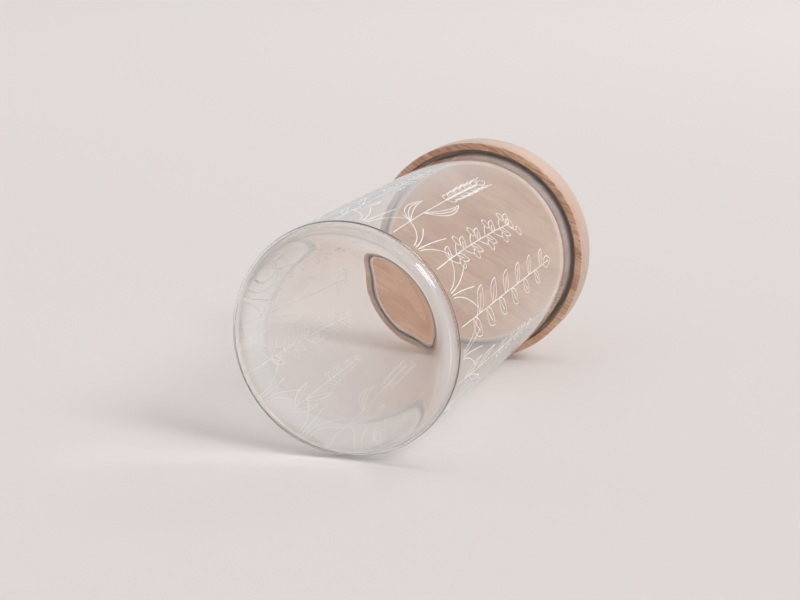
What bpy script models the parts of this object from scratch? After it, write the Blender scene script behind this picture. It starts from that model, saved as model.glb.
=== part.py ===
"""Glass storage jar with a turned wooden lid and a silicone seal.

The jar is a straight clear glass body on a narrow foot ring. Inside the ring
the base is pushed up into a shallow dome, so that the glass is thinnest in
the middle, and outside it a round heel rises to the wall. The mouth is melted
round by fire polishing.
The lid is turned from one board. Its underside has three parts: a narrow rim
that hangs down outside the mouth, a channel that the mouth goes up into, and
a plug that drops inside the glass. The seal sits in a groove round the plug,
and its three lips rise towards the lid and close against the glass.

Lengths are in metres. +Z is up, and the origin is the middle of the ring
that the jar stands on.
"""

import math

import bmesh
import bpy

# Glass body
GLASS_RADIUS = 0.0500
GLASS_WALL = 0.0023
GLASS_BASE = 0.0028
JAR_HEIGHT = 0.1904
HEEL_RADIUS = 0.0075
FOOT_WIDTH = 0.0012
DOME_RISE = 0.0031
INNER_CORNER_RADIUS = 0.0040

# Wooden lid
RIM_WIDTH = 0.0035
RIM_DEPTH = 0.0088
ROOF_THICKNESS = 0.0110
PLUG_LENGTH = 0.0152
TOP_EDGE_RADIUS = 0.0045
RIM_EDGE_RADIUS = 0.0005
PLUG_EDGE_RADIUS = 0.0010
CHANNEL_CORNER_RADIUS = 0.0008

# Silicone seal
GROOVE_DEPTH = 0.0017
GROOVE_HEIGHT = 0.0084
GROOVE_ABOVE_FACE = 0.0018
SLEEVE_WALL = 0.0011
LIP_ROOT = 0.0012
LIP_TIP = 0.0005
LIP_RISE = 0.0006

# Clearances between neighbouring pieces
SEAT_GAP = 0.0003
MOUTH_PLAY = 0.0014
PLUG_PLAY = 0.0022

# Counts
LIPS = 3
TURNED_STEPS = 72
BEND_STEPS = 7
DOME_STEPS = 8
EDGE_STEPS = 2
FACE_STEPS = 3
LIP_STEPS = 4
SMOOTH_ANGLE = math.radians(35)
WELD_DISTANCE = 0.000001

# Where the pieces meet
GLASS_BORE = GLASS_RADIUS - GLASS_WALL
FLOOR_Z = DOME_RISE + GLASS_BASE
DOME_RADIUS = GLASS_RADIUS - HEEL_RADIUS - FOOT_WIDTH
ROOF_Z = JAR_HEIGHT + SEAT_GAP
RIM_Z = ROOF_Z - RIM_DEPTH
LID_TOP_Z = ROOF_Z + ROOF_THICKNESS
PLUG_FACE_Z = ROOF_Z - PLUG_LENGTH
CHANNEL_RADIUS = GLASS_RADIUS + MOUTH_PLAY
LID_RADIUS = CHANNEL_RADIUS + RIM_WIDTH
PLUG_RADIUS = GLASS_BORE - PLUG_PLAY
GROOVE_RADIUS = PLUG_RADIUS - GROOVE_DEPTH
GROOVE_LOW_Z = PLUG_FACE_Z + GROOVE_ABOVE_FACE
GROOVE_HIGH_Z = GROOVE_LOW_Z + GROOVE_HEIGHT

CLEAR_GLASS = (0.90, 0.93, 0.93, 1.0)
PALE_WOOD = (0.62, 0.42, 0.28, 1.0)
MILKY_SILICONE = (0.72, 0.68, 0.70, 1.0)


def clear_scene():
    for found in list(bpy.data.objects):
        bpy.data.objects.remove(found, do_unlink=True)


def arc(centre, radius, start_degrees, end_degrees, steps):
    """Points of an arc in the profile's plane, 0 degrees out along +X and 90 up along +Z."""
    points = []
    for step in range(steps + 1):
        angle = math.radians(start_degrees + (end_degrees - start_degrees) * step / steps)
        x = centre[0] + radius * math.cos(angle)
        z = centre[1] + radius * math.sin(angle)
        points.append((x, z))
    return points


def surface(name, colour, roughness, transmission=0.0):
    material = bpy.data.materials.new(name)
    material.use_nodes = True
    shader = material.node_tree.nodes["Principled BSDF"]
    shader.inputs["Base Color"].default_value = colour
    shader.inputs["Roughness"].default_value = roughness
    shader.inputs["Metallic"].default_value = 0.0
    shader.inputs["Transmission Weight"].default_value = transmission
    material.diffuse_color = colour
    return material


def turned(name, profile, origin_z, closed, material, collection):
    """A solid of revolution: the profile is a wire that a Screw modifier turns about Z."""
    wire = bmesh.new()
    points = [wire.verts.new((x, 0, z - origin_z)) for x, z in profile]
    for first, second in zip(points, points[1:]):
        wire.edges.new((first, second))
    if closed:
        wire.edges.new((points[-1], points[0]))
    outline = bpy.data.meshes.new(name + "_profile")
    wire.to_mesh(outline)
    wire.free()

    solid = bpy.data.objects.new(name, outline)
    collection.objects.link(solid)
    screw = solid.modifiers.new("Turn", "SCREW")
    screw.axis = "Z"
    screw.angle = math.tau
    screw.steps = TURNED_STEPS
    screw.render_steps = TURNED_STEPS
    screw.use_merge_vertices = True
    screw.merge_threshold = WELD_DISTANCE
    screw.use_normal_calculate = False

    depsgraph = bpy.context.evaluated_depsgraph_get()
    mesh = bpy.data.meshes.new_from_object(solid.evaluated_get(depsgraph))
    mesh.name = name
    solid.modifiers.clear()
    solid.data = mesh
    bpy.data.meshes.remove(outline)
    mesh.shade_smooth()
    mesh.set_sharp_from_angle(angle=SMOOTH_ANGLE)
    mesh.materials.clear()
    mesh.materials.append(material)
    solid.location.z = origin_z
    return solid


def dome():
    """The pushed-up base, from the inner edge of the foot ring to the middle."""
    points = []
    for step in range(DOME_STEPS + 1):
        share = 1 - step / DOME_STEPS
        points.append((DOME_RADIUS * share, DOME_RISE * (1 - share**2)))
    return points


def jar_profile():
    """From the middle of the inner floor, up the bore, over the mouth, down to the foot and back."""
    corner = (GLASS_BORE - INNER_CORNER_RADIUS, FLOOR_Z + INNER_CORNER_RADIUS)
    lip_radius = GLASS_WALL / 2
    lip = (GLASS_RADIUS - lip_radius, JAR_HEIGHT - lip_radius)
    heel = (GLASS_RADIUS - HEEL_RADIUS, HEEL_RADIUS)
    return (
        [(0, FLOOR_Z)]
        + arc(corner, INNER_CORNER_RADIUS, -90, 0, BEND_STEPS)
        + arc(lip, lip_radius, 180, 0, BEND_STEPS)
        + arc(heel, HEEL_RADIUS, 0, -90, BEND_STEPS)
        + dome()
    )


def lid_profile():
    """From the middle of the top, over the edge, down and up round the rim, channel and plug."""
    top = TOP_EDGE_RADIUS
    edge = RIM_EDGE_RADIUS
    corner = CHANNEL_CORNER_RADIUS
    face = PLUG_EDGE_RADIUS
    return (
        [(0, LID_TOP_Z)]
        + arc((LID_RADIUS - top, LID_TOP_Z - top), top, 90, 0, BEND_STEPS)
        + arc((LID_RADIUS - edge, RIM_Z + edge), edge, 0, -90, EDGE_STEPS)
        + arc((CHANNEL_RADIUS + edge, RIM_Z + edge), edge, -90, -180, EDGE_STEPS)
        + arc((CHANNEL_RADIUS - corner, ROOF_Z - corner), corner, 0, 90, EDGE_STEPS)
        + arc((PLUG_RADIUS + corner, ROOF_Z - corner), corner, 90, 180, EDGE_STEPS)
        + [
            (PLUG_RADIUS, GROOVE_HIGH_Z),
            (GROOVE_RADIUS, GROOVE_HIGH_Z),
            (GROOVE_RADIUS, GROOVE_LOW_Z),
            (PLUG_RADIUS, GROOVE_LOW_Z),
        ]
        + arc((PLUG_RADIUS - face, PLUG_FACE_Z + face), face, 0, -90, FACE_STEPS)
        + [(0, PLUG_FACE_Z)]
    )


def seal_profile():
    """A closed outline: down the outer side over each lip, and back up the inner side."""
    inner = GROOVE_RADIUS + SEAT_GAP
    sleeve = inner + SLEEVE_WALL
    reach = GLASS_BORE - SEAT_GAP
    low = GROOVE_LOW_Z + SEAT_GAP
    high = GROOVE_HIGH_Z - SEAT_GAP
    pitch = (high - low) / LIPS
    points = [(inner, high), (sleeve, high)]
    for lip in reversed(range(LIPS)):
        middle = low + pitch * (lip + 1 / 2)
        tip = middle + LIP_RISE
        points.append((sleeve, middle + LIP_ROOT / 2))
        points.extend(arc((reach - LIP_TIP / 2, tip), LIP_TIP / 2, 90, -90, LIP_STEPS))
        points.append((sleeve, middle - LIP_ROOT / 2))
    points.append((sleeve, low))
    points.append((inner, low))
    return points


def build():
    clear_scene()
    jar_parts = bpy.data.collections.new("glass_storage_jar")
    bpy.context.scene.collection.children.link(jar_parts)
    glass = surface("clear_glass", CLEAR_GLASS, 0.02, 1.0)
    wood = surface("pale_wood", PALE_WOOD, 0.55)
    silicone = surface("milky_silicone", MILKY_SILICONE, 0.4)

    turned("glass_jar", jar_profile(), 0, False, glass, jar_parts)
    lid = turned("wooden_lid", lid_profile(), RIM_Z, False, wood, jar_parts)
    seal = turned("lid_seal", seal_profile(), RIM_Z, True, silicone, jar_parts)
    seal.parent = lid
    seal.matrix_parent_inverse = lid.matrix_basis.inverted()


build()
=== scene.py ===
"""Looks of the glass storage jar with a turned wooden lid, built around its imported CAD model.

Lengths are in metres, in the CAD's frame: +Z is the jar's axis, and the jar's foot is at 0.
"""

import math
import random

import bmesh
import bpy
from mathutils import Matrix, Vector


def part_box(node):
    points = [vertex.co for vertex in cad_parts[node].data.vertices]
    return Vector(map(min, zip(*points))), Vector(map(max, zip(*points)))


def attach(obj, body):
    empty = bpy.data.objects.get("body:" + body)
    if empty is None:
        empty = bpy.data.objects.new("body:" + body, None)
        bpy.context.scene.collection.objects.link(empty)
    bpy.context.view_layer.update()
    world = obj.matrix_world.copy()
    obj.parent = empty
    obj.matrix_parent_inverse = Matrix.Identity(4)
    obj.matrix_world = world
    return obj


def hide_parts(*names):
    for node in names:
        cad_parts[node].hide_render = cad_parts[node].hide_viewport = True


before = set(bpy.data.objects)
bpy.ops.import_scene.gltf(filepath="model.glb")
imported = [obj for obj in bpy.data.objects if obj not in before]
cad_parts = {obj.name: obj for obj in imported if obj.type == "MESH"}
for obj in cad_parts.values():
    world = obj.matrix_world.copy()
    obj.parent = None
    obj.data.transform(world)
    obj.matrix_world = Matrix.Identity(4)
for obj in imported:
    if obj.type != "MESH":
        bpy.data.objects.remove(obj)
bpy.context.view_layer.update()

glass_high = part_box("glass_jar")[1]
lid_low, lid_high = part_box("wooden_lid")

# Glass. The foot ring is a bead that turns up by BEAD_TURN before the heel's arc begins
GLASS_RADIUS = glass_high[0]
JAR_HEIGHT = glass_high[2]
GLASS_WALL = 0.0023
FLOOR_Z = 0.0059
INNER_CORNER_RADIUS = 0.0022
BEAD_RADIUS = 0.0120
BEAD_TURN = math.radians(11)
FOOT_RADIUS = 0.04205
SEAM_RADIUS = 0.0474
SEAM_WIDTH = 0.00045
SEAM_HEIGHT = 0.00006
# Slope of the pushed-up base at each radius, from its middle to the foot ring
DOME_SLOPES = (
    (0.0, 0.0), (0.0260, 0.100), (0.0330, 0.102), (0.0360, 0.130), (0.0375, 0.160),
    (0.0390, 0.170), (0.0401, 0.155), (0.0411, 0.080), (FOOT_RADIUS, 0.0),
)

# Wooden lid
LID_RADIUS = lid_high[0]
LID_TOP_Z = lid_high[2]
PLUG_FACE_Z = lid_low[2]
RIM_WIDTH = 0.0035
RIM_DEPTH = 0.0088
ROOF_THICKNESS = 0.0110
TOP_EDGE_RADIUS = 0.0045
RIM_EDGE_RADIUS = 0.0005
PLUG_EDGE_RADIUS = 0.0016
CHANNEL_CORNER_RADIUS = 0.0008
GROOVE_DEPTH = 0.0017
GROOVE_HEIGHT = 0.0084
GROOVE_ABOVE_FACE = 0.0018
GROOVE_EDGE_RADIUS = 0.0002
PLUG_PLAY = 0.0022

# Silicone seal
SLEEVE_WALL = 0.0011
LIP_ROOT = 0.0012
LIP_TIP = 0.0005
LIP_RISE = 0.0006
LIPS = 3
SEAT_GAP = 0.0003

# Where the pieces meet
GLASS_BORE = GLASS_RADIUS - GLASS_WALL
BEAD_SHARE = math.sin(BEAD_TURN)
HEEL_RADIUS = (GLASS_RADIUS - FOOT_RADIUS - BEAD_RADIUS * BEAD_SHARE) / (1 - BEAD_SHARE)
ROOF_Z = LID_TOP_Z - ROOF_THICKNESS
RIM_Z = ROOF_Z - RIM_DEPTH
CHANNEL_RADIUS = LID_RADIUS - RIM_WIDTH
PLUG_RADIUS = GLASS_BORE - PLUG_PLAY
GROOVE_RADIUS = PLUG_RADIUS - GROOVE_DEPTH
GROOVE_LOW_Z = PLUG_FACE_Z + GROOVE_ABOVE_FACE
GROOVE_HIGH_Z = GROOVE_LOW_Z + GROOVE_HEIGHT

# Finish of the meshes
GLASS_STEPS = 256
WOOD_STEPS = 192
BEND_STEPS = 24
EDGE_STEPS = 6
DOME_STEPS = 48
SEAM_STEPS = 5
LONG_STRAIGHT = 0.0015
SUPPORT_OFFSET = 0.00005
SMOOTH_ANGLE = math.radians(35)

# Printed lines
LINE_WIDTH = 0.00038
LINE_HEIGHT = 0.000010
LINE_GAP = 0.000002
LINE_LAYERS = 7
LINE_PITCH = 0.0014
LINE_END_SHARE = 0.55

# Printed plants. A place on a stem is counted in its steps, from its foot
DESIGN_SEED = 7
PLANT_FOOT_Z = 0.0105
PLANT_SHIFT = 0.15
PLANT_LEAN = 0.10
GRASS_HEIGHT = 0.030
STEM_STEPS = 40
LEAF_STEPS = 14
LEAF_FULLNESS = 0.85
LEAF_RIB_SHARE = 0.72
OVAL_STEPS = 20
SIDES = (-1, 1)

# Camera: where the middle of the foot lies before it, in metres right, down and forward
CAMERA_LENS = 80.55
CAMERA_NEAR = 0.01
CAMERA_FAR = 100
CAMERA_TO_FOOT = Vector((-0.024921, 0.018021, 0.729085))
AXIS_TILT = math.radians(24.38)
AXIS_TURN = math.radians(-33.99)

# Floor that the jar lies on, and the ground for views of it standing
HEEL_CONTACT_Z = 0.0080
LID_CONTACT_ABOVE_RIM = 0.0005
FLOOR_AZIMUTH = math.radians(157.5)
CONTACT_REACH = 0.012
STAGE_REACH = 8.0
GROUND_Z = -0.0001
STAGE_COLOUR = (0.74, 0.695, 0.68, 1)
STAGE_ROUGHNESS = 0.9
STAGE_SPECULAR = 0.2

# Lights, their directions as parts to the camera's right, away from it and up
KEY_SIDE = 0.604
KEY_DEPTH = -0.472
KEY_HEIGHT = 0.643
KEY_SPREAD = math.radians(22)
KEY_STRENGTH = 1.2
BACK_SIDE = 2.2
BACK_DEPTH = 2.4
BACK_HEIGHT = 2.6
BACK_SIZE = 1.4
BACK_POWER = 18.0

# World. Its colours change with how far a direction points up, and how far behind the camera
WORLD_STRENGTH = 0.745
WORLD_HORIZON = (0.96, 0.95, 0.95, 1)
WORLD_ZENITH = (1.0, 0.99, 0.98, 1)
WORLD_RISE = (-0.1, 0.9)
WORLD_ROOM = (0.30, 0.28, 0.26, 1)
WORLD_ROOM_SHARE = 0.25
WORLD_ROOM_EDGE = (0.2, 0.8)

# A noise texture's values, all but the rarest, lie between these
NOISE_VALUES = (0.3, 0.7)

# Clear glass, and the ring of small moulded dots round its heel
GLASS_TINT = (0.997, 1.0, 0.998, 1)
GLASS_IOR = 1.47
DOT_COUNT = 158
DOT_RADIUS = 0.0488
DOT_HIGH_Z = 0.0050
DOT_HEIGHT = 0.00002
DOT_INNER_FADE = (0.0, 0.0006)
DOT_UPPER_FADE = (-0.0007, 0.0)

# Colours of the wood
WOOD_PALE = (0.76, 0.50, 0.335, 1)
WOOD_TAN = (0.66, 0.385, 0.24, 1)
WOOD_RING = (0.56, 0.28, 0.18, 1)
# A pale colour for painted light: a painted highlight on the plug's edge and painted light in the
# channel
WOOD_PAINTED_LIGHT = (0.92, 0.82, 0.70, 1)
# A pale colour for painted sheen on the lid's side
WOOD_PAINTED_SHEEN = (0.74, 0.62, 0.54, 1)
# Dark end grain, also used as painted shade on the lid's side
WOOD_END_AND_SHADE = (0.32, 0.24, 0.19, 1)
WOOD_FIBRE = (0.52, 0.29, 0.19, 1)
WOOD_STREAK = (0.42, 0.19, 0.10, 1)
WOOD_PORE = (0.22, 0.12, 0.07, 1)
WOOD_TICK = (0.20, 0.085, 0.045, 1)

# The board: its grain's direction across the lid, and the way to it from the rings' middle
GRAIN_AZIMUTH = math.radians(95)
FROM_RING_MIDDLE = (0, 0.030, 0.155)
RING_PITCH = 0.0034
RING_DRIFT = 2.6

# Textures of the board: cells in a metre along, across and through it, and a shift
SWAY_TEXTURE = ((14, 45, 45), (0, 0, 0))
CLOUD_TEXTURE = ((12, 60, 60), (3, 5, 7))
FIBRE_TEXTURE = ((55, 1500, 1500), (0, 0, 0))
STREAK_TEXTURE = ((70, 420, 420), (6, 2, 9))
PORE_TEXTURE = ((210, 1150, 1150), (0, 0, 0))
TICK_TEXTURE = ((130, 1150, 1150), (1, 2, 4))

# Values of the textures between which each mark of the board comes in, and its strength
RING_VALUES = (-0.6, 1.0)
RING_SHARE = 0.55
RING_LINE_VALUES = (0.86, 1.0)
RING_LINE_SHARE = 0.22
FIBRE_VALUES = (0.35, 0.68)
FIBRE_SHARE = 0.32
STREAK_VALUES = (0.50, 0.66)
STREAK_SHARE = 0.27
PORE_DISTANCES = (0.10, 0.26)
PORE_CHANCES = (0.35, 0.8)
PORE_SHARE = 0.34

# Marks of turning on the lid, with painted highlight, painted sheen, painted light and painted
# shade. FROM gives the offsets from an edge that a mark fades between
TICK_VALUES = (0.44, 0.62)
TICK_SHARE = 0.60
TICK_FROM_RIM = (0.0003, 0.0012)
TICK_FROM_CHANNEL = (-0.0010, 0.0)
TICK_ACROSS = (-0.025, 0.045)
TICK_LEAST = 0.3
# Painted highlight on the plug's rounded edge
PLUG_HIGHLIGHT_SHARE = 0.55
PLUG_HIGHLIGHT_FROM_FACE = (0.0017, 0.0019)
PLUG_HIGHLIGHT_FROM_SIDE = (-0.0018, -0.0008)
# Painted sheen on the lid's side
SHEEN_FROM_RIM = (0.0004, 0.0090)
SHEEN_FROM_CHANNEL = 0.0010
SHEEN_FROM_SIDE = -0.0005
SHEEN_SHARES = (0.10, 0.45)
# Painted light inside the channel, which lightens its shade
CHANNEL_LIGHT_SHARE = 0.7
CHANNEL_FROM_RIM = (0.0008, 0.0030)
CHANNEL_MARGIN = 0.0002
# End grain, also used as painted shade on the lid's side
END_SHARE = 0.5
END_FROM_SIDE = (-0.0022, -0.0002)
END_FROM_RIM = (0.0006, 0.0022)

# Surface of the wood
WOOD_ROUGHNESS = (0.46, 0.62)
TOOL_PITCH = 0.00042
TOOL_DEPTH = 0.10
PORE_DEPTH = 0.5
FIBRE_DEPTH = 0.35
WOOD_BUMP = 0.00004
WOOD_BUMP_STRENGTH = 0.8
COAT_WEIGHT = 0.6
COAT_ROUGHNESS = 0.28
COAT_IOR = 1.6

# Milky silicone, dark at its lower end, which lies in the shade of the groove
SILICONE_DULL = (0.57, 0.52, 0.53, 1)
SILICONE_MILKY = (0.64, 0.59, 0.60, 1)
SILICONE_SHADE = (0.06, 0.04, 0.035, 1)
SILICONE_SHADE_SHARE = 0.85
SILICONE_SHADE_FROM_GROOVE = (0.0006, 0.0016)
SILICONE_ROUGHNESS = (0.32, 0.44)
SILICONE_HAZE_SCALE = 260.0
SILICONE_GRAIN_SCALE = 2400.0
SILICONE_BUMP = 0.00001
SILICONE_BUMP_STRENGTH = 0.5
SILICONE_SCATTER = 0.5
SILICONE_SCATTER_RADIUS = (1.0, 0.9, 0.95)
SILICONE_SCATTER_SCALE = 0.0012

# White enamel of the print
ENAMEL_THIN = (0.86, 0.84, 0.81, 1)
ENAMEL_FULL = (0.93, 0.92, 0.90, 1)
ENAMEL_ROUGHNESS = (0.38, 0.52)
ENAMEL_PATCH_SCALE = 300.0
ENAMEL_MESH_SCALE = 4200.0
ENAMEL_BUMP = 0.000008
ENAMEL_BUMP_STRENGTH = 0.6
ENAMEL_SCATTER = 1.0
ENAMEL_SCATTER_RADIUS = (1.0, 1.0, 1.0)
ENAMEL_SCATTER_SCALE = 0.00002


def arc(centre, radius, start_degrees, end_degrees, steps):
    """Points of an arc in the profile's plane, 0 degrees outwards and 90 up."""
    points = []
    for step in range(steps + 1):
        angle = math.radians(start_degrees + (end_degrees - start_degrees) * step / steps)
        x = centre[0] + radius * math.cos(angle)
        z = centre[1] + radius * math.sin(angle)
        points.append((x, z))
    return points


def between(first, second, share):
    """The point a share of the way from the first to the second."""
    return (
        first[0] + (second[0] - first[0]) * share,
        first[1] + (second[1] - first[1]) * share,
    )


def supported(profile, closed=False):
    """The profile with a point close to each end of its long straights.

    The straights stay flat under smooth shading that way.
    """
    ends = profile[1:] + profile[:1] if closed else profile[1:]
    points = []
    for first, second in zip(profile, ends):
        points.append(first)
        length = math.dist(first, second)
        if length > LONG_STRAIGHT:
            share = SUPPORT_OFFSET / length
            points.append(between(first, second, share))
            points.append(between(first, second, 1 - share))
    if not closed:
        points.append(profile[-1])
    return points


def finished(name, verts, faces, material, body):
    """A smooth-shaded mesh piece that rides on one body."""
    mesh = bpy.data.meshes.new(name)
    mesh.from_pydata(verts, [], faces)
    solid = bmesh.new()
    solid.from_mesh(mesh)
    bmesh.ops.recalc_face_normals(solid, faces=solid.faces)
    solid.to_mesh(mesh)
    solid.free()
    mesh.shade_smooth()
    mesh.set_sharp_from_angle(angle=SMOOTH_ANGLE)
    mesh.materials.append(material)
    piece = bpy.data.objects.new(name, mesh)
    bpy.context.scene.collection.objects.link(piece)
    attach(piece, body)
    return piece


def turned(name, profile, closed, steps, material, body):
    """A solid of revolution about Z. A profile point on the axis becomes one vertex."""
    verts = []
    rings = []
    for radius, height in profile:
        start = len(verts)
        if radius == 0:
            rings.append([start] * steps)
            verts.append((0, 0, height))
            continue
        rings.append(list(range(start, start + steps)))
        for step in range(steps):
            angle = math.tau * step / steps
            verts.append((radius * math.cos(angle), radius * math.sin(angle), height))
    pairs = list(zip(rings, rings[1:]))
    if closed:
        pairs.append((rings[-1], rings[0]))
    faces = []
    for first, second in pairs:
        for step in range(steps):
            after = (step + 1) % steps
            corners = (first[step], first[after], second[after], second[step])
            faces.append(tuple(dict.fromkeys(corners)))
    return finished(name, verts, faces, material, body)


def dome_points():
    """The pushed-up base from the foot ring inwards, its heights summed from its slopes."""
    radii = [FOOT_RADIUS * (1 - step / DOME_STEPS) for step in range(DOME_STEPS)]
    radii.extend(radius for radius, _ in DOME_SLOPES if 0 < radius < FOOT_RADIUS)
    radii = sorted(radii, reverse=True)

    def slope_at(radius):
        for (low, at_low), (high, at_high) in zip(DOME_SLOPES, DOME_SLOPES[1:]):
            if radius <= high:
                return at_low + (at_high - at_low) * (radius - low) / (high - low)
        return 0.0

    points = [(radii[0], 0.0)]
    for outer, inner in zip(radii, radii[1:] + [0.0]):
        rise = (slope_at(outer) + slope_at(inner)) / 2 * (outer - inner)
        points.append((inner, points[-1][1] + rise))
    return points


def seamed(points, centre):
    """The heel's arc with the fine raised line that the mould leaves round it."""
    turn = math.acos((SEAM_RADIUS - centre[0]) / HEEL_RADIUS)
    raised = []
    for step in range(-SEAM_STEPS, SEAM_STEPS + 1):
        angle = -turn - step / SEAM_STEPS * SEAM_WIDTH / HEEL_RADIUS
        away = HEEL_RADIUS + SEAM_HEIGHT * (1 + math.cos(math.pi * step / SEAM_STEPS)) / 2
        raised.append((centre[0] + away * math.cos(angle), centre[1] + away * math.sin(angle)))
    start, end = raised[0], raised[-1]
    before = [point for point in points if point[0] > start[0] and point[1] > start[1]]
    after = [point for point in points if point[0] < end[0] and point[1] < end[1]]
    return before + raised + after


def glass_profile():
    """From the middle of the inner floor, up the bore, over the mouth, down to the foot and back."""
    corner = (GLASS_BORE - INNER_CORNER_RADIUS, FLOOR_Z + INNER_CORNER_RADIUS)
    lip_radius = GLASS_WALL / 2
    lip = (GLASS_RADIUS - lip_radius, JAR_HEIGHT - lip_radius)
    heel_z = BEAD_RADIUS - (BEAD_RADIUS - HEEL_RADIUS) * math.cos(BEAD_TURN)
    heel = (GLASS_RADIUS - HEEL_RADIUS, heel_z)
    heel_end = math.degrees(BEAD_TURN) - 90
    bead = arc((FOOT_RADIUS, BEAD_RADIUS), BEAD_RADIUS, heel_end, -90, EDGE_STEPS)
    return supported(
        [(0, FLOOR_Z)]
        + arc(corner, INNER_CORNER_RADIUS, -90, 0, BEND_STEPS)
        + arc(lip, lip_radius, 180, 0, BEND_STEPS)
        + seamed(arc(heel, HEEL_RADIUS, 0, heel_end, BEND_STEPS), heel)
        + bead[1:-1]
        + dome_points()
    )


def lid_profile():
    """From the middle of the top, over the edge, down and up round the rim, channel and plug."""
    top = TOP_EDGE_RADIUS
    edge = RIM_EDGE_RADIUS
    corner = CHANNEL_CORNER_RADIUS
    face = PLUG_EDGE_RADIUS
    worn = GROOVE_EDGE_RADIUS
    return supported(
        [(0, LID_TOP_Z)]
        + arc((LID_RADIUS - top, LID_TOP_Z - top), top, 90, 0, BEND_STEPS)
        + arc((LID_RADIUS - edge, RIM_Z + edge), edge, 0, -90, EDGE_STEPS)
        + arc((CHANNEL_RADIUS + edge, RIM_Z + edge), edge, -90, -180, EDGE_STEPS)
        + arc((CHANNEL_RADIUS - corner, ROOF_Z - corner), corner, 0, 90, EDGE_STEPS)
        + arc((PLUG_RADIUS + corner, ROOF_Z - corner), corner, 90, 180, EDGE_STEPS)
        + arc((PLUG_RADIUS - worn, GROOVE_HIGH_Z + worn), worn, 0, -90, EDGE_STEPS)
        + [(GROOVE_RADIUS, GROOVE_HIGH_Z), (GROOVE_RADIUS, GROOVE_LOW_Z)]
        + arc((PLUG_RADIUS - worn, GROOVE_LOW_Z - worn), worn, 90, 0, EDGE_STEPS)
        + arc((PLUG_RADIUS - face, PLUG_FACE_Z + face), face, 0, -90, EDGE_STEPS)
        + [(0, PLUG_FACE_Z)]
    )


def seal_profile():
    """A closed outline: down the outer side over each lip, and back up the inner side."""
    inner = GROOVE_RADIUS + SEAT_GAP
    sleeve = inner + SLEEVE_WALL
    reach = GLASS_BORE - SEAT_GAP
    low = GROOVE_LOW_Z + SEAT_GAP
    high = GROOVE_HIGH_Z - SEAT_GAP
    pitch = (high - low) / LIPS
    points = [(inner, high), (sleeve, high)]
    for lip in reversed(range(LIPS)):
        middle = low + pitch * (lip + 1 / 2)
        tip = middle + LIP_RISE
        points.append((sleeve, middle + LIP_ROOT / 2))
        points.extend(arc((reach - LIP_TIP / 2, tip), LIP_TIP / 2, 90, -90, EDGE_STEPS))
        points.append((sleeve, middle - LIP_ROOT / 2))
    points.append((sleeve, low))
    points.append((inner, low))
    return supported(points, closed=True)


def new_material(name):
    material = bpy.data.materials.new(name)
    material.use_nodes = True
    return material, material.node_tree, material.node_tree.nodes["Principled BSDF"]


def set_inputs(tree, made, inputs):
    """Sets a node's inputs to values or links them to outputs."""
    for name, value in inputs.items():
        if isinstance(value, bpy.types.NodeSocket):
            tree.links.new(value, made.inputs[name])
        else:
            made.inputs[name].default_value = value


def node(tree, kind, inputs, **settings):
    made = tree.nodes.new(kind)
    for name, value in settings.items():
        setattr(made, name, value)
    set_inputs(tree, made, inputs)
    return made


def math_node(tree, operation, *values):
    return node(tree, "ShaderNodeMath", dict(enumerate(values)), operation=operation).outputs[0]


def product(tree, *values):
    result = values[0]
    for value in values[1:]:
        result = math_node(tree, "MULTIPLY", result, value)
    return result


def vector_node(tree, output, operation, *vectors):
    inputs = dict(enumerate(vectors))
    return node(tree, "ShaderNodeVectorMath", inputs, operation=operation).outputs[output]


def length_of(tree, vector, parts):
    """The length of a vector's parts: (1, 1, 0) gives a point's distance from Z."""
    kept = vector_node(tree, "Vector", "MULTIPLY", vector, parts)
    return vector_node(tree, "Value", "LENGTH", kept)


def own_place(tree):
    """The shaded point in its piece's own frame."""
    return node(tree, "ShaderNodeTexCoord", {}).outputs["Object"]


def split(tree, vector):
    return node(tree, "ShaderNodeSeparateXYZ", {"Vector": vector}).outputs


def noise(tree, vector, scale, detail):
    inputs = {"Vector": vector, "Scale": scale, "Detail": detail}
    return node(tree, "ShaderNodeTexNoise", inputs).outputs["Fac"]


def mix_colour(tree, factor, first, second):
    """A Mix node has its two colours in sockets 6 and 7, and gives the mixed one in 2."""
    inputs = {"Factor": factor, 6: first, 7: second}
    return node(tree, "ShaderNodeMix", inputs, data_type="RGBA").outputs[2]


def ramp(tree, value, low, high, to_low=0.0, to_high=1.0):
    """value mapped from low..high to to_low..to_high with smooth ends."""
    inputs = {
        "Value": value, "From Min": low, "From Max": high, "To Min": to_low, "To Max": to_high,
    }
    made = node(tree, "ShaderNodeMapRange", inputs, interpolation_type="SMOOTHSTEP")
    return made.outputs["Result"]


def fade(tree, value, edge, offsets, to_low=0.0, to_high=1.0):
    """value mapped as by ramp, between two offsets from an edge."""
    return ramp(tree, value, edge + offsets[0], edge + offsets[1], to_low, to_high)


def add_bump(tree, shader, height, distance, strength):
    inputs = {"Height": height, "Distance": distance, "Strength": strength}
    bump = node(tree, "ShaderNodeBump", inputs)
    tree.links.new(bump.outputs["Normal"], shader.inputs["Normal"])


def glass_material():
    material, tree, shader = new_material("clear_glass")
    place = own_place(tree)
    parts = split(tree, place)
    radius = length_of(tree, place, (1, 1, 0))
    angle = math_node(tree, "ARCTAN2", parts["Y"], parts["X"])
    dots = math_node(tree, "COSINE", product(tree, angle, DOT_COUNT))
    low = fade(tree, parts["Z"], DOT_HIGH_Z, DOT_UPPER_FADE, 1.0, 0.0)
    band = product(tree, low, fade(tree, radius, DOT_RADIUS, DOT_INNER_FADE))
    add_bump(tree, shader, product(tree, dots, band), DOT_HEIGHT, 1.0)
    set_inputs(tree, shader, {
        "Base Color": GLASS_TINT, "Roughness": 0.0, "Transmission Weight": 1.0, "IOR": GLASS_IOR,
    })
    return material


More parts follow.
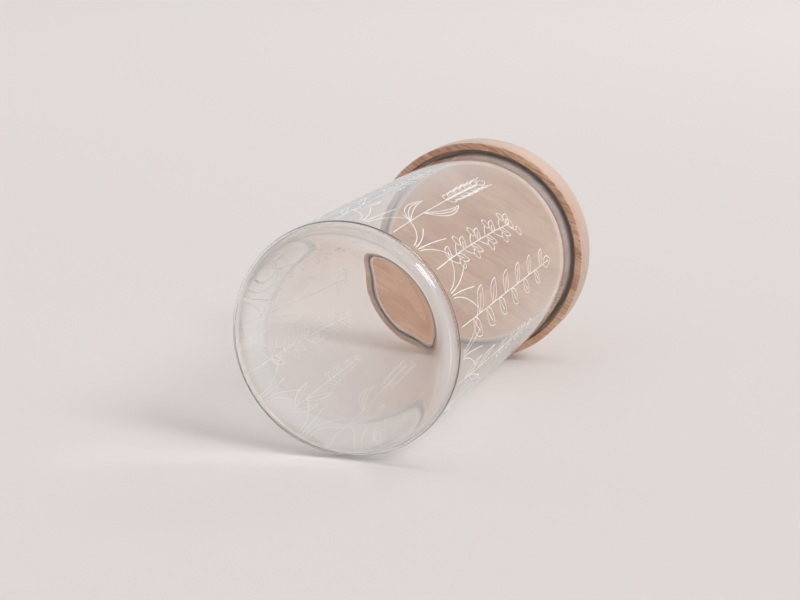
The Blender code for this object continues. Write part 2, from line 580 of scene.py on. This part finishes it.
def stretched(tree, board, texture):
    """The place on the board for a texture that is drawn out along the grain."""
    scale, shift = texture
    inputs = {"Vector": board, "Scale": scale, "Location": shift}
    return node(tree, "ShaderNodeMapping", inputs).outputs[0]


def board_noise(tree, board, texture, detail=2.0):
    return noise(tree, stretched(tree, board, texture), 1.0, detail)


def ring_wave(tree, board):
    """A wave from -1 to 1 over each yearly ring, its lines swaying a little."""
    sway = board_noise(tree, board, SWAY_TEXTURE)
    from_middle = vector_node(tree, "Vector", "ADD", board, FROM_RING_MIDDLE)
    reach = length_of(tree, from_middle, (0, 1, 1))
    rings = product(tree, reach, 1 / RING_PITCH)
    phase = math_node(tree, "ADD", rings, product(tree, sway, RING_DRIFT))
    return math_node(tree, "SINE", product(tree, phase, math.tau))


def board_pores(tree, board):
    """Short dark pores, with a random share of them left out."""
    place = stretched(tree, board, PORE_TEXTURE)
    cells = node(tree, "ShaderNodeTexVoronoi", {"Vector": place, "Scale": 1.0}).outputs
    shape = ramp(tree, cells["Distance"], *PORE_DISTANCES, 1.0, 0.0)
    chance = node(tree, "ShaderNodeSeparateColor", {"Color": cells["Color"]}).outputs["Red"]
    return product(tree, shape, ramp(tree, chance, *PORE_CHANCES))


def board_colour(tree, board, fibres, pores):
    """The board's colour before it is turned."""
    wave = ring_wave(tree, board)
    clouds = ramp(tree, board_noise(tree, board, CLOUD_TEXTURE), *NOISE_VALUES)
    body = mix_colour(tree, clouds, WOOD_PALE, WOOD_TAN)
    lines = product(tree, ramp(tree, wave, *RING_LINE_VALUES), RING_LINE_SHARE)
    rings = product(tree, ramp(tree, wave, *RING_VALUES), RING_SHARE)
    ringed = mix_colour(tree, math_node(tree, "ADD", rings, lines), body, WOOD_RING)
    fibred = mix_colour(tree, product(tree, fibres, FIBRE_SHARE), ringed, WOOD_FIBRE)
    streaks = ramp(tree, board_noise(tree, board, STREAK_TEXTURE), *STREAK_VALUES)
    streaked = mix_colour(tree, product(tree, streaks, STREAK_SHARE), fibred, WOOD_STREAK)
    return mix_colour(tree, product(tree, pores, PORE_SHARE), streaked, WOOD_PORE)


def rim_ticks(tree, board, height, radius):
    """Short dark ticks on the rim's turned edge, fewer towards one side of the board."""
    low = fade(tree, height, RIM_Z, TICK_FROM_RIM, 1.0, 0.0)
    outside = fade(tree, radius, CHANNEL_RADIUS, TICK_FROM_CHANNEL)
    dense = ramp(tree, split(tree, board)["Y"], *TICK_ACROSS, 1.0, TICK_LEAST)
    ticks = ramp(tree, board_noise(tree, board, TICK_TEXTURE), *TICK_VALUES)
    return product(tree, ticks, product(tree, low, outside, dense))


def painted_plug_highlight(tree, height, radius):
    """A painted highlight on the rounded edge of the plug's face."""
    low = fade(tree, height, PLUG_FACE_Z, PLUG_HIGHLIGHT_FROM_FACE, 1.0, 0.0)
    return product(tree, low, fade(tree, radius, PLUG_RADIUS, PLUG_HIGHLIGHT_FROM_SIDE))


def painted_side_sheen(tree, height, radius):
    """Painted sheen on the lid's side, stronger towards its top."""
    wall = fade(tree, height, RIM_Z, SHEEN_FROM_RIM, *SHEEN_SHARES)
    inner, outer = CHANNEL_RADIUS + SHEEN_FROM_CHANNEL, LID_RADIUS + SHEEN_FROM_SIDE
    above = math_node(tree, "GREATER_THAN", height, RIM_Z + SHEEN_FROM_RIM[0])
    return product(tree, wall, ramp(tree, radius, inner, outer), above)


def painted_channel_light(tree, height, radius):
    """Painted light inside the channel that the glass's mouth goes up into."""
    return product(
        tree,
        fade(tree, height, RIM_Z, CHANNEL_FROM_RIM),
        math_node(tree, "LESS_THAN", height, ROOF_Z + CHANNEL_MARGIN),
        math_node(tree, "LESS_THAN", radius, CHANNEL_RADIUS + CHANNEL_MARGIN),
        math_node(tree, "GREATER_THAN", radius, PLUG_RADIUS - CHANNEL_MARGIN),
    )


def end_grain_and_shade(tree, board, height, radius):
    """The lid's side darker where it cuts across the grain, at the board's two ends: end grain, also
    used as painted shade on the side.
    """
    towards_end = math_node(tree, "DIVIDE", split(tree, board)["X"], radius)
    return product(
        tree,
        product(tree, towards_end, towards_end),
        END_SHARE,
        fade(tree, radius, LID_RADIUS, END_FROM_SIDE),
        fade(tree, height, RIM_Z, END_FROM_RIM),
    )


def wood_material():
    """One board: soft rings, streaks, fine fibres and short pores, all along one grain."""
    material, tree, shader = new_material("turned_wood")
    place = own_place(tree)
    height = split(tree, place)["Z"]
    radius = length_of(tree, place, (1, 1, 0))
    turn = {"Vector": place, "Angle": -GRAIN_AZIMUTH}
    board = node(tree, "ShaderNodeVectorRotate", turn, rotation_type="Z_AXIS").outputs[0]
    fibre_noise = board_noise(tree, board, FIBRE_TEXTURE, detail=3.0)
    fibres = ramp(tree, fibre_noise, *FIBRE_VALUES)
    pores = board_pores(tree, board)

    ticks = product(tree, rim_ticks(tree, board, height, radius), TICK_SHARE)
    # Painted highlight on the plug's edge
    edge = product(tree, painted_plug_highlight(tree, height, radius), PLUG_HIGHLIGHT_SHARE)
    # Painted light inside the channel
    channel_light = product(tree, painted_channel_light(tree, height, radius), CHANNEL_LIGHT_SHARE)
    colour = board_colour(tree, board, fibres, pores)
    colour = mix_colour(tree, ticks, colour, WOOD_TICK)
    colour = mix_colour(tree, edge, colour, WOOD_PAINTED_LIGHT)
    colour = mix_colour(tree, channel_light, colour, WOOD_PAINTED_LIGHT)
    # Painted sheen on the lid's side
    colour = mix_colour(tree, painted_side_sheen(tree, height, radius), colour, WOOD_PAINTED_SHEEN)
    # End grain, also used as painted shade on the lid's side
    colour = mix_colour(tree, end_grain_and_shade(tree, board, height, radius), colour, WOOD_END_AND_SHADE)

    tool = math_node(tree, "SINE", product(tree, radius, math.tau / TOOL_PITCH))
    depth = product(tree, tool, TOOL_DEPTH)
    depth = math_node(tree, "SUBTRACT", depth, product(tree, pores, PORE_DEPTH))
    depth = math_node(tree, "SUBTRACT", depth, product(tree, fibres, FIBRE_DEPTH))
    add_bump(tree, shader, depth, WOOD_BUMP, WOOD_BUMP_STRENGTH)
    set_inputs(tree, shader, {
        "Base Color": colour,
        "Roughness": ramp(tree, fibre_noise, *NOISE_VALUES, *WOOD_ROUGHNESS),
        "Coat Weight": COAT_WEIGHT,
        "Coat Roughness": COAT_ROUGHNESS,
        "Coat IOR": COAT_IOR,
    })
    return material


def silicone_material():
    material, tree, shader = new_material("milky_silicone")
    place = own_place(tree)
    haze = noise(tree, place, SILICONE_HAZE_SCALE, 2.0)
    milky = mix_colour(tree, ramp(tree, haze, *NOISE_VALUES), SILICONE_DULL, SILICONE_MILKY)
    height = split(tree, place)["Z"]
    offsets = SILICONE_SHADE_FROM_GROOVE
    under = fade(tree, height, GROOVE_LOW_Z, offsets, SILICONE_SHADE_SHARE, 0.0)
    grain = noise(tree, place, SILICONE_GRAIN_SCALE, 1.0)
    add_bump(tree, shader, grain, SILICONE_BUMP, SILICONE_BUMP_STRENGTH)
    set_inputs(tree, shader, {
        "Base Color": mix_colour(tree, under, milky, SILICONE_SHADE),
        "Roughness": ramp(tree, haze, *NOISE_VALUES, *SILICONE_ROUGHNESS),
        "Subsurface Weight": SILICONE_SCATTER,
        "Subsurface Radius": SILICONE_SCATTER_RADIUS,
        "Subsurface Scale": SILICONE_SCATTER_SCALE,
    })
    return material


def print_material():
    """White glass enamel, with the slight unevenness that a screen leaves."""
    material, tree, shader = new_material("white_enamel")
    place = own_place(tree)
    patches = noise(tree, place, ENAMEL_PATCH_SCALE, 2.0)
    mesh_marks = noise(tree, place, ENAMEL_MESH_SCALE, 1.0)
    add_bump(tree, shader, mesh_marks, ENAMEL_BUMP, ENAMEL_BUMP_STRENGTH)
    cover = ramp(tree, patches, *NOISE_VALUES)
    set_inputs(tree, shader, {
        "Base Color": mix_colour(tree, cover, ENAMEL_THIN, ENAMEL_FULL),
        "Roughness": ramp(tree, patches, *NOISE_VALUES, *ENAMEL_ROUGHNESS),
        "Subsurface Weight": ENAMEL_SCATTER,
        "Subsurface Radius": ENAMEL_SCATTER_RADIUS,
        "Subsurface Scale": ENAMEL_SCATTER_SCALE,
    })
    return material


# The printed design is drawn flat: x runs round the jar and y up it. Its plants all take the same
# values, whether they draw random ones or not, so that drawn_design can call any of them


def along(start, heading, length, bend, steps):
    """Points of a stroke that leaves start in a heading and turns evenly by bend on its way."""
    points = [start]
    for step in range(steps):
        angle = heading + bend * (step + 0.5) / steps
        x, y = points[-1]
        points.append((
            x + math.cos(angle) * length / steps,
            y + math.sin(angle) * length / steps,
        ))
    return points


def moved(point, heading, distance):
    return (
        point[0] + math.cos(heading) * distance,
        point[1] + math.sin(heading) * distance,
    )


def heading_at(points, index):
    after = min(index + 1, len(points) - 1)
    before = max(after - 1, 0)
    return math.atan2(points[after][1] - points[before][1], points[after][0] - points[before][0])


def oval(centre, across, up, steps=OVAL_STEPS):
    points = []
    for step in range(steps + 1):
        angle = math.tau * step / steps
        points.append((centre[0] + across * math.cos(angle), centre[1] + up * math.sin(angle)))
    return points


def leaf(root, heading, length, width, bend=0.0, rib_share=LEAF_RIB_SHARE):
    """Two edges that meet in a point, and a midrib that stops short of it."""
    spine = along(root, heading, length, bend, LEAF_STEPS)
    left = []
    right = []
    for step, point in enumerate(spine):
        share = step / LEAF_STEPS
        reach = width / 2 * math.sin(math.pi * share**LEAF_FULLNESS)
        across = heading + bend * share + math.pi / 2
        left.append(moved(point, across, reach))
        right.append(moved(point, across, -reach))
    strokes = [left, right]
    if rib_share:
        strokes.append(spine[: int(LEAF_STEPS * rib_share) + 1])
    return strokes


def side_leaf(stem, at, side, angle, length, width, bend, rib_share=LEAF_RIB_SHARE):
    """A leaf that leaves one side of a stem at an angle and bends back."""
    heading = heading_at(stem, at) + side * angle
    return leaf(stem[at], heading, length, width, -side * bend, rib_share)


def top_leaf(stem, length, width, rib_share=LEAF_RIB_SHARE):
    return leaf(stem[-1], heading_at(stem, STEM_STEPS), length, width, rib_share=rib_share)


def stem_from(x, foot, height, lean, curl):
    """A stem that leans at its foot and bends back by curl times its lean."""
    return along((x, foot), math.pi / 2 - lean, height, curl * lean, STEM_STEPS)


def wheat(x, foot, height, lean, draw):
    """An ear of paired grains, each with an awn, over two long blades."""
    pairs, ear_start, pair_pitch, largest_pair = 9, 25, 1.6, 3
    grain_length, grain_taper, grain_width = 0.0088, 0.0003, 0.0034
    awn_length, awn_spread, awn_root_angle, awn_angle = 0.009, 0.0012, 0.3, 0.22
    stem = stem_from(x, foot, height, lean, curl=2)
    strokes = [stem]
    for pair in range(pairs):
        at = min(ear_start + round(pair * pair_pitch), STEM_STEPS - 1)
        heading = heading_at(stem, at)
        size = grain_length - grain_taper * abs(pair - largest_pair)
        for side in SIDES:
            strokes += side_leaf(
                stem, at, side, angle=0.48, length=size, width=grain_width, bend=0.35, rib_share=0
            )
            root = moved(stem[at], heading + side * awn_root_angle, size)
            length = awn_length + awn_spread * draw.random()
            bend = -side * 0.12
            strokes.append(along(root, heading + side * awn_angle, length, bend, steps=4))
    strokes += top_leaf(stem, length=0.0095, width=grain_width, rib_share=0)
    for at, side in ((8, 1), (14, -1)):
        strokes += side_leaf(
            stem, at, side, angle=0.55, length=0.034, width=0.0036, bend=0.75, rib_share=0.9
        )
    return strokes


def sprig(x, foot, height, lean, draw):
    """Leaves on one side and the other in turn, smaller towards the top."""
    first, pitch = 5, 3
    longest, taper, slimness = 0.0155, 0.35, 0.46
    least_angle, angle_spread = 0.85, 0.1
    stem = stem_from(x, foot, height, lean, curl=2.2)
    strokes = [stem]
    for number, at in enumerate(range(first, STEM_STEPS - 1, pitch)):
        size = longest * (1 - taper * at / STEM_STEPS)
        angle = least_angle + angle_spread * draw.random()
        strokes += side_leaf(
            stem, at, SIDES[number % 2], angle, length=size, width=size * slimness, bend=0.3
        )
    strokes += top_leaf(stem, length=0.0120, width=0.0052)
    return strokes


def berries(x, foot, height, lean, draw):
    """Berries on twigs, on one side and the other in turn, each across from a leaf."""
    first, pitch = 7, 4
    twig_steps, twig_length, twig_angle, twig_bend = 5, 0.0085, 0.75, 0.5
    least_size, size_spread, top_size = 0.0021, 0.0004, 0.0024
    stem = stem_from(x, foot, height, lean, curl=2.4)
    strokes = [stem]
    for number, at in enumerate(range(first, STEM_STEPS, pitch)):
        side = SIDES[number % 2]
        heading = heading_at(stem, at) + side * twig_angle
        twig = along(stem[at], heading, twig_length, -side * twig_bend, twig_steps)
        strokes.append(twig)
        size = least_size + size_spread * draw.random()
        centre = moved(twig[-1], heading_at(twig, twig_steps), size)
        strokes.append(oval(centre, size, size))
        strokes += side_leaf(
            stem, at, -side, angle=0.7, length=0.0095, width=0.0038, bend=0.3, rib_share=0.6
        )
    centre = moved(stem[-1], heading_at(stem, STEM_STEPS), top_size)
    strokes.append(oval(centre, top_size, top_size))
    return strokes


def seed_head(x, foot, height, lean, draw):
    """A ribbed oval pod under a scalloped crown, over three broad leaves."""
    pod_reach, pod_half, pod_steps, rib_steps = 0.0066, 0.0078, 28, 8
    crown_reach, crown_z, crown_steps, crown_rise = 0.0052, 0.0085, 18, 0.0011
    scallops, scallop_height = 3, 0.0012
    strut_top, strut_foot = 0.0096, (0.0022, 0.0074)
    stem = stem_from(x, foot, height, lean, curl=2)
    strokes = [stem]
    middle_x, middle_y = stem[-1][0], stem[-1][1] + pod_half
    strokes.append(oval((middle_x, middle_y), pod_reach, pod_half, pod_steps))
    for share in (-0.55, 0.0, 0.55):
        rib = []
        for step in range(rib_steps + 1):
            angle = math.pi * (step / rib_steps - 0.5)
            rib.append((
                middle_x + share * pod_reach * math.cos(angle),
                middle_y + pod_half * math.sin(angle),
            ))
        strokes.append(rib)
    crown = []
    for step in range(crown_steps + 1):
        share = step / crown_steps * 2 - 1
        bump = scallop_height * abs(math.sin(math.pi * scallops * (share + 1) / 2))
        rise = middle_y + crown_z + bump + crown_rise * share * share
        crown.append((middle_x + share * crown_reach, rise))
    strokes.append(crown)
    for side in SIDES:
        strokes.append([
            (middle_x + side * crown_reach, middle_y + strut_top),
            (middle_x + side * strut_foot[0], middle_y + strut_foot[1]),
        ])
    for at, side in ((6, -1), (13, 1), (20, -1)):
        strokes += side_leaf(stem, at, side, angle=0.7, length=0.024, width=0.0062, bend=0.6)
    return strokes


def lavender(x, foot, height, lean, draw):
    """Tiers of florets, smaller towards the top, over three narrow leaves."""
    tiers, first, pitch = 8, 22, 2.4
    longest, taper, slimness = 0.0056, 0.00028, 0.55
    stem = stem_from(x, foot, height, lean, curl=2)
    strokes = [stem]
    for tier in range(tiers):
        at = min(first + round(tier * pitch), STEM_STEPS - 1)
        size = longest - taper * tier
        for side in SIDES:
            strokes += side_leaf(
                stem, at, side, angle=0.95, length=size, width=size * slimness, bend=0.4,
                rib_share=0,
            )
    strokes += top_leaf(stem, length=0.0046, width=0.0026, rib_share=0)
    for at, side in ((3, 1), (6, -1), (10, 1)):
        strokes += side_leaf(
            stem, at, side, angle=0.42, length=0.022, width=0.0026, bend=0.3, rib_share=0
        )
    return strokes


def grass(x, foot, height, draw):
    """Four blades that fan out from one foot and bend outwards."""
    fan, lean, bend = 0.002, 0.1, 0.9
    least_share, share_spread = 0.75, 0.3
    strokes = []
    for side in (-1.0, -0.45, 0.15, 0.7):
        reach = height * (least_share + share_spread * draw.random())
        root = (x + side * fan, foot)
        strokes.append(along(root, math.pi / 2 - side * lean, reach, -side * bend, steps=16))
    return strokes


def drawn_design():
    """Plants round the jar, with taller and shorter ones in turn and grass between them."""
    draw = random.Random(DESIGN_SEED)
    order = (
        (wheat, 0.112), (berries, 0.098), (sprig, 0.121), (lavender, 0.104), (seed_head, 0.086),
        (sprig, 0.096), (wheat, 0.122), (lavender, 0.092), (berries, 0.116), (seed_head, 0.108),
        (sprig, 0.104), (wheat, 0.098), (lavender, 0.118),
    )
    girth = math.tau * GLASS_RADIUS
    strokes = []
    for number, (plant, height) in enumerate(order):
        x = girth * (number + PLANT_SHIFT * draw.random()) / len(order)
        lean = PLANT_LEAN * (draw.random() - 0.5)
        strokes += plant(x, PLANT_FOOT_Z, height, lean, draw)
        strokes += grass(x + girth / len(order) * 0.5, PLANT_FOOT_Z, GRASS_HEIGHT, draw)
    return strokes


def evenly(points):
    """The stroke with points no further apart than the line's pitch."""
    even = [points[0]]
    for first, second in zip(points, points[1:]):
        count = max(1, math.ceil(math.dist(first, second) / LINE_PITCH))
        for step in range(1, count + 1):
            even.append(between(first, second, step / count))
    return even


def ribbon(stroke, under, over, start):
    """The corners and faces of a closed ribbon between two heights over the glass."""
    points = evenly(stroke)
    verts = []
    for index, (x, y) in enumerate(points):
        heading = heading_at(points, index)
        reach = LINE_WIDTH / 2
        if index in (0, len(points) - 1):
            reach *= LINE_END_SHARE
        else:
            before = heading_at(points, index - 1)
            heading = before + math.remainder(heading - before, math.tau) / 2
        for side, height in ((-1, under), (-1, over), (1, over), (1, under)):
            along_girth = x - side * math.sin(heading) * reach
            up = y + side * math.cos(heading) * reach
            angle = along_girth / GLASS_RADIUS
            away = GLASS_RADIUS + height
            verts.append((away * math.cos(angle), away * math.sin(angle), up))
    faces = []
    for index in range(len(points) - 1):
        here = start + 4 * index
        for side in range(4):
            after = (side + 1) % 4
            faces.append((here + side, here + after, here + 4 + after, here + 4 + side))
    last = start + 4 * (len(points) - 1)
    faces.append((start + 3, start + 2, start + 1, start))
    faces.append((last, last + 1, last + 2, last + 3))
    return verts, faces


def printed_lines(material):
    """Every stroke as a thin ribbon on the glass, in layers, so that crossing strokes don't meet."""
    verts = []
    faces = []
    for number, stroke in enumerate(drawn_design()):
        under = LINE_GAP + number % LINE_LAYERS * (LINE_HEIGHT + LINE_GAP)
        more_verts, more_faces = ribbon(stroke, under, under + LINE_HEIGHT, len(verts))
        verts += more_verts
        faces += more_faces
    return finished("printed_lines", verts, faces, material, "jar")


def photo_frame():
    """How the jar lies in the photograph.

    Returns the turn from CAD to the camera's right, down and forward, the floor's downward
    normal in the camera's terms, and the direction in CAD in which the jar touches the floor.
    """
    axis = Vector((
        math.sin(AXIS_TILT) * math.cos(AXIS_TURN),
        math.sin(AXIS_TILT) * math.sin(AXIS_TURN),
        math.cos(AXIS_TILT),
    ))
    lean = math.atan((LID_RADIUS - GLASS_RADIUS) / (RIM_Z - HEEL_CONTACT_Z))
    pitch = math.atan2(-axis.y, axis.z) - math.asin(math.sin(lean) / math.hypot(axis.y, axis.z))
    down = Vector((0, math.cos(pitch), math.sin(pitch)))
    outward = (down - axis * down.dot(axis)).normalized()
    seen = (outward, axis.cross(outward), axis)
    cad = (
        Vector((math.cos(FLOOR_AZIMUTH), math.sin(FLOOR_AZIMUTH), 0)),
        Vector((-math.sin(FLOOR_AZIMUTH), math.cos(FLOOR_AZIMUTH), 0)),
        Vector((0, 0, 1)),
    )
    to_camera = Matrix([
        [sum(s[row] * c[column] for s, c in zip(seen, cad)) for column in range(3)]
        for row in range(3)
    ])
    return to_camera, down, cad[0]


def add_camera(to_camera):
    back = to_camera.transposed()
    data = bpy.data.cameras.new("camera")
    data.lens = CAMERA_LENS
    data.clip_start = CAMERA_NEAR
    data.clip_end = CAMERA_FAR
    camera = bpy.data.objects.new("camera", data)
    bpy.context.scene.collection.objects.link(camera)
    turn = Matrix([[row[0], -row[1], -row[2]] for row in back])
    camera.matrix_world = Matrix.Translation(-(back @ CAMERA_TO_FOOT)) @ turn.to_4x4()
    bpy.context.scene.camera = camera


def stage_material(name, unseen):
    """A pale matt surface, seen from its front only and not by the rays that unseen picks."""
    material, tree, shader = new_material(name)
    set_inputs(tree, shader, {
        "Base Color": STAGE_COLOUR,
        "Roughness": STAGE_ROUGHNESS,
        "Specular IOR Level": STAGE_SPECULAR,
    })
    ray = node(tree, "ShaderNodeLightPath", {}).outputs
    geometry = node(tree, "ShaderNodeNewGeometry", {})
    hidden = math_node(tree, "MAXIMUM", geometry.outputs["Backfacing"], unseen(tree, ray))
    clear = node(tree, "ShaderNodeBsdfTransparent", {})
    inputs = {0: hidden, 1: shader.outputs[0], 2: clear.outputs[0]}
    both = node(tree, "ShaderNodeMixShader", inputs)
    tree.links.new(both.outputs[0], tree.nodes["Material Output"].inputs["Surface"])
    return material


def left_close_by(tree, ray):
    """Light that leaves an object for the floor from close by.

    It passes, as a contact shadow would otherwise stay on the object in views from behind.
    """
    close = math_node(tree, "LESS_THAN", ray["Ray Length"], CONTACT_REACH)
    return product(tree, close, ray["Is Diffuse Ray"])


def not_from_camera(tree, ray):
    """All but the camera's rays, so that the ground doesn't darken the part."""
    return math_node(tree, "SUBTRACT", 1.0, ray["Is Camera Ray"])


def stage_plane(name, centre, normal, material):
    side = normal.orthogonal().normalized()
    other = normal.cross(side)
    corners = [
        centre + side * STAGE_REACH * a + other * STAGE_REACH * b
        for a, b in ((-1, -1), (1, -1), (1, 1), (-1, 1))
    ]
    mesh = bpy.data.meshes.new(name)
    mesh.from_pydata(corners, [], [(0, 1, 2, 3)])
    mesh.materials.append(material)
    plane = bpy.data.objects.new(name, mesh)
    bpy.context.scene.collection.objects.link(plane)
    return plane


def add_stage(to_camera, down, floor_side):
    """The photograph's floor, under the lying jar, and a level ground for the standing one."""
    normal_down = to_camera.transposed() @ down
    contact = floor_side * LID_RADIUS + Vector((0, 0, RIM_Z + LID_CONTACT_ABOVE_RIM))
    centre = normal_down * normal_down.dot(contact)
    stage_plane("floor", centre, -normal_down, stage_material("pale_floor", left_close_by))
    centre = Vector((0, 0, GROUND_Z))
    up = Vector((0, 0, 1))
    stage_plane("ground", centre, up, stage_material("pale_ground", not_from_camera))


def add_lamp(name, kind, settings, where, target, up):
    """A lamp that faces a target, its own y axis in the plane of up."""
    data = bpy.data.lights.new(name, kind)
    for setting, value in settings.items():
        setattr(data, setting, value)
    away = (where - target).normalized()
    side = up.cross(away).normalized()
    turn = Matrix((side, away.cross(side), away)).transposed()
    lamp = bpy.data.objects.new(name, data)
    lamp.matrix_world = Matrix.Translation(where) @ turn.to_4x4()
    bpy.context.scene.collection.objects.link(lamp)


def add_world(up, forward):
    """A pale room, dimmer behind the camera."""
    world = bpy.data.worlds.new("studio")
    bpy.context.scene.world = world
    world.use_nodes = True
    tree = world.node_tree
    direction = node(tree, "ShaderNodeTexCoord", {}).outputs["Generated"]
    height = vector_node(tree, "Value", "DOT_PRODUCT", direction, tuple(up))
    sky = mix_colour(tree, ramp(tree, height, *WORLD_RISE), WORLD_HORIZON, WORLD_ZENITH)
    behind = vector_node(tree, "Value", "DOT_PRODUCT", direction, tuple(-forward))
    room = ramp(tree, behind, *WORLD_ROOM_EDGE, 0.0, WORLD_ROOM_SHARE)
    set_inputs(tree, tree.nodes["Background"], {
        "Color": mix_colour(tree, room, sky, WORLD_ROOM),
        "Strength": WORLD_STRENGTH,
    })


def add_light(to_camera, down):
    back = to_camera.transposed()
    up = -(back @ down)
    right = back @ Vector((1, 0, 0))
    forward = up.cross(right)
    middle = Vector((0, 0, JAR_HEIGHT / 2))
    key = (right * KEY_SIDE + forward * KEY_DEPTH + up * KEY_HEIGHT).normalized()
    settings = {"angle": KEY_SPREAD, "energy": KEY_STRENGTH}
    add_lamp("key", "SUN", settings, middle + key, middle, up)
    lamp = middle + right * BACK_SIDE + forward * BACK_DEPTH + up * BACK_HEIGHT
    settings = {"shape": "DISK", "size": BACK_SIZE, "energy": BACK_POWER}
    add_lamp("back", "AREA", settings, lamp, lamp - up, right)
    add_world(up, forward)


def build():
    glass = turned("glass_body", glass_profile(), False, GLASS_STEPS, glass_material(), "jar")
    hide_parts("glass_jar")
    printed_lines(print_material())
    lid = turned("lid_board", lid_profile(), False, WOOD_STEPS, wood_material(), "lid")
    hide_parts("wooden_lid")
    seal = turned("seal_ring", seal_profile(), True, WOOD_STEPS, silicone_material(), "lid")
    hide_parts("lid_seal")

    to_camera, down, floor_side = photo_frame()
    add_camera(to_camera)
    add_stage(to_camera, down, floor_side)
    add_light(to_camera, down)
    bpy.context.scene.view_settings.view_transform = "Standard"
    # Light that has passed through clear glass comes out too dark at the default of 1.0
    bpy.context.scene.cycles.blur_glossy = 0.0


build()
